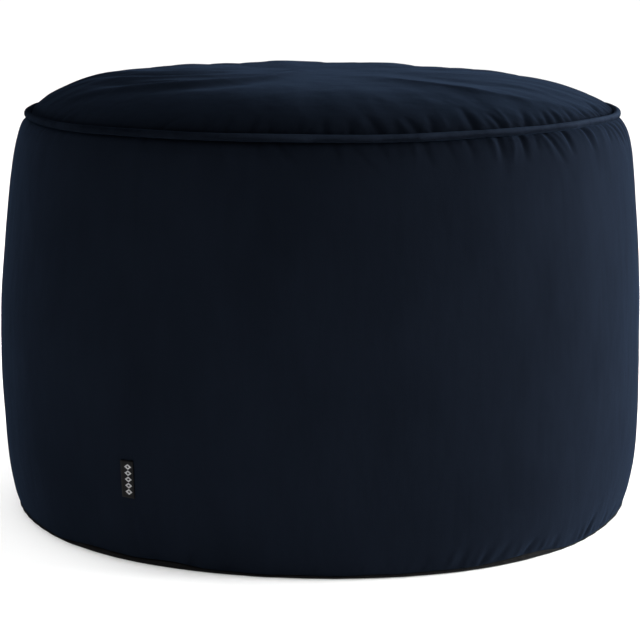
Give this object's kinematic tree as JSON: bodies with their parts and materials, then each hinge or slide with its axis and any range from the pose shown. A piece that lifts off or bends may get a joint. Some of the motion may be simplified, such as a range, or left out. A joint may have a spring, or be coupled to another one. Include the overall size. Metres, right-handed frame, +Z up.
{
  "type": "round pouf",
  "caption": "Low round pouf with a crowned velvet top, a gathered side band, piping round the top seam and a flat cloth base.",
  "frame": {"origin": "the middle of the flat base, on the floor that the pouf stands on", "axes": "+Z up, out of the crowned top; the front, with the upright seam and its label towards the left, faces -Y; +X is the right-hand side seen from the front"},
  "size_m": [0.4994, 0.4988, 0.3402],
  "materials": {
    "velvet": "dark navy short-pile velvet with a soft blue-grey sheen",
    "piping": "the same navy velvet, cut on the bias round a cord",
    "base_cloth": "matt charcoal woven cloth",
    "label": "black woven satin tape"
  },
  "bodies": {
    "root": {"side_band": "velvet", "top_panel": "velvet", "welt": "piping", "base_panel": "base_cloth", "side_label": "label"}
  },
  "joints": []
}
